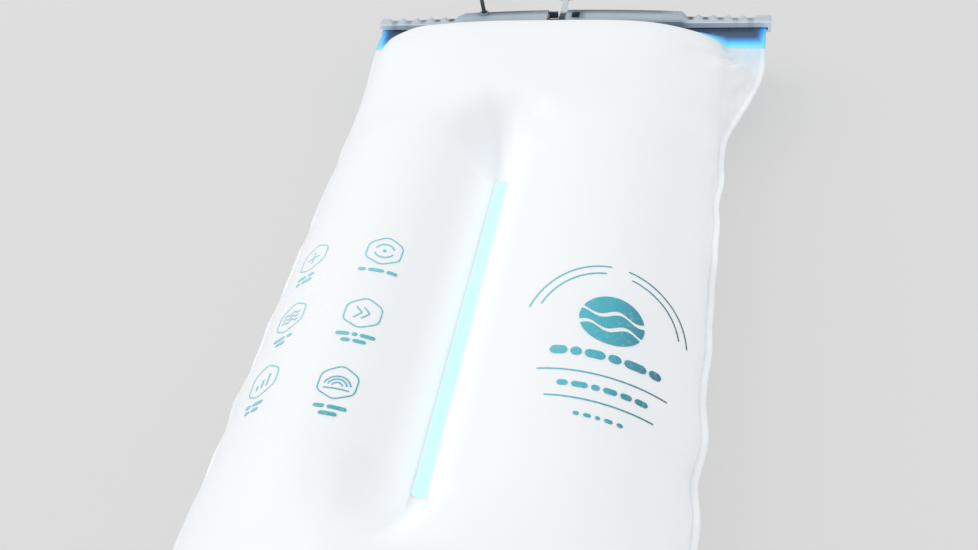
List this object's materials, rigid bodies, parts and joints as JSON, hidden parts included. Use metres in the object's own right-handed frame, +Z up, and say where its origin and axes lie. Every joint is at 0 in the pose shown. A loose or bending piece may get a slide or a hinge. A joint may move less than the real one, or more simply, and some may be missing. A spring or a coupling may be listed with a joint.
{
  "type": "hydration bladder",
  "caption": "Soft two-lobed water reservoir with a centre baffle, a slide-lock top closure with hang ring, and a quick-release exit port, filled and lying on its back.",
  "frame": {"origin": "centre of the bounding box in plan, on the plane the underside rests on", "axes": "+X along the top slider, the way it pulls off; +Y from the foot towards the closure; +Z up out of the front panel"},
  "size_m": [0.2056, 0.5561, 0.0693],
  "materials": {
    "film_white": "satin",
    "film_back": "satin",
    "weld_aqua": "satin",
    "print_teal": "satin",
    "band_blue": "gloss",
    "slider_grey": "satin",
    "hanger_grey": "satin",
    "cord_dark": "matt",
    "toggle_dark": "satin",
    "port_white": "satin",
    "port_grey": "satin",
    "button_blue": "gloss",
    "seal_black": "matt",
    "spring_steel": "satin",
    "valve_white": "satin"
  },
  "bodies": {
    "reservoir": {"front_film": "film_white", "back_film": "film_back", "front_baffle_rail": "weld_aqua", "back_baffle_rail": "weld_aqua", "front_top_band": "band_blue", "back_top_band": "band_blue", "port_flange": "port_white", "port_gasket": "seal_black", "port_body": "port_grey", "socket_o_ring": "seal_black", "spring_retainer": "port_white", "poppet_spring": "spring_steel", "button_spring": "spring_steel"},
    "slider": {"slider_body": "slider_grey", "hanger_pin": "spring_steel", "pull_cord": "cord_dark", "cord_toggle": "toggle_dark"},
    "hang_ring": {"hanger": "hanger_grey"},
    "release": {"release_button": "button_blue", "latch_plate": "spring_steel"},
    "valve": {"valve_poppet": "valve_white", "poppet_seal": "seal_black"}
  },
  "joints": [
    {"name": "slider_slide", "type": "slide", "parent": "reservoir", "child": "slider", "axis": [1, 0, 0], "range_m": [0, 0.206]},
    {"name": "hanger_swing", "type": "hinge", "parent": "slider", "child": "hang_ring", "pos_m": [-0.00505, 0.19992, 0.0313], "axis": [1, 0, 0], "range_deg": [0, 90]},
    {"name": "release_press", "type": "slide", "parent": "reservoir", "child": "release", "axis": [0, 1, 0], "range_m": [0, 0.002], "stiffness_N_per_m": 900, "springref_m": -0.0015, "deforming": ["button_spring"]},
    {"name": "valve_lift", "type": "slide", "parent": "reservoir", "child": "valve", "axis": [0, 0, -1], "range_m": [0, 0.0028], "stiffness_N_per_m": 400, "springref_m": -0.002, "deforming": ["poppet_spring"]}
  ]
}
